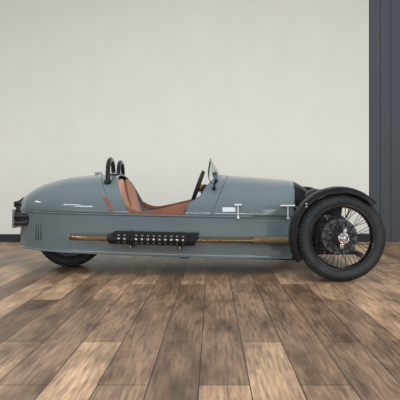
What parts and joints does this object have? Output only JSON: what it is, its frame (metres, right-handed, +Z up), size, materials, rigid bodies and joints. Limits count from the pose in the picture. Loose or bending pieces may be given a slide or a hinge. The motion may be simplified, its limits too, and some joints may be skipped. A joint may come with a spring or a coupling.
{
  "type": "three wheeled car",
  "caption": "Open two-seat car with wire wheels under separate mudguards in front, one wheel in a boat tail, an exposed V engine on the nose and side exhausts.",
  "frame": {"origin": "on the ground, in the middle of the overall length and width", "axes": "+X forward, +Y to the car's left, +Z up"},
  "size_m": [3.1799, 1.684, 1],
  "materials": {
    "paint": "gloss",
    "black_metal": "satin black",
    "black_trim": "matt",
    "leather": "grained",
    "chrome": "polished",
    "screen": "clear",
    "engine": "dark coated",
    "exhaust": "heat tinted",
    "damper": "satin",
    "plate": "blank",
    "alloy": "dark satin",
    "tyre": "rubber"
  },
  "bodies": {
    "body": {"chassis": "black_metal", "tub_sides": "paint", "tub_tail": "paint", "floor": "black_trim", "nose_bulkhead": "black_trim", "boot_tray": "black_trim", "rear_deck": "paint", "scuttle": "paint", "bonnet": "paint", "nose_cowl": "black_metal", "cockpit_rails": "leather", "seat_bases": "leather", "seat_backs": "leather", "dashboard": "black_trim", "tunnel": "black_trim", "steering_column": "black_trim", "roll_hoops": "black_metal", "aero_screens": "screen", "mirrors": "black_trim", "crankcase": "engine", "cylinders": "engine", "intake": "black_metal", "exhausts": "exhaust", "heat_shields": "black_metal", "wishbones": "black_metal", "dampers": "damper", "headlamps": "black_metal", "tail_lamps": "black_metal", "plate_holder": "plate", "bonnet_catches": "chrome", "swing_arm": "black_metal"},
    "steering_wheel": {"steering_wheel": "black_trim"},
    "steering_rack": {"steering_rack": "black_metal"},
    "boot_lid": {"boot_lid": "paint", "lid_straps": "leather", "fuel_cap": "chrome"},
    "knuckle_left": {"knuckle_left": "engine", "mudguard_left": "black_metal"},
    "knuckle_right": {"knuckle_right": "engine", "mudguard_right": "black_metal"},
    "wheel_left": {"wire_wheel_left": "black_metal", "tyre_left": "tyre"},
    "wheel_right": {"wire_wheel_right": "black_metal", "tyre_right": "tyre"},
    "wheel_rear": {"rear_wheel": "alloy", "rear_tyre": "tyre"}
  },
  "joints": [
    {"name": "steer_left", "type": "hinge", "parent": "body", "child": "knuckle_left", "pos_m": [1.245, 0.655, 0.345], "axis": [0, 0, 1], "range_deg": [-22, 22]},
    {"name": "steer_right", "type": "hinge", "parent": "body", "child": "knuckle_right", "pos_m": [1.245, -0.655, 0.345], "axis": [0, 0, 1], "range_deg": [-22, 22]},
    {"name": "rack_slide", "type": "slide", "parent": "body", "child": "steering_rack", "axis": [0, 1, 0], "range_m": [-0.0425, 0.0425]},
    {"name": "steering_wheel_turn", "type": "hinge", "parent": "body", "child": "steering_wheel", "pos_m": [0.098, 0.245, 0.735], "axis": [-0.9397, 0, 0.342], "range_deg": [-331, 331]},
    {"name": "spin_left", "type": "hinge", "parent": "knuckle_left", "child": "wheel_left", "pos_m": [1.245, 0.75, 0.345], "axis": [0, 1, 0], "continuous": true},
    {"name": "spin_right", "type": "hinge", "parent": "knuckle_right", "child": "wheel_right", "pos_m": [1.245, -0.75, 0.345], "axis": [0, 1, 0], "continuous": true},
    {"name": "spin_rear", "type": "hinge", "parent": "body", "child": "wheel_rear", "pos_m": [-1.075, 0, 0.312], "axis": [0, 1, 0], "continuous": true},
    {"name": "boot_lid_hinge", "type": "hinge", "parent": "body", "child": "boot_lid", "pos_m": [-1.567, 0, 0.57585], "axis": [0, -1, 0], "range_deg": [0, 70]}
  ],
  "couplings": [
    {"joint": "steer_right", "follows": "steer_left", "ratio": 1},
    {"joint": "rack_slide", "follows": "steer_left", "m_per_rad": -0.11},
    {"joint": "steering_wheel_turn", "follows": "steer_left", "ratio": 15}
  ]
}
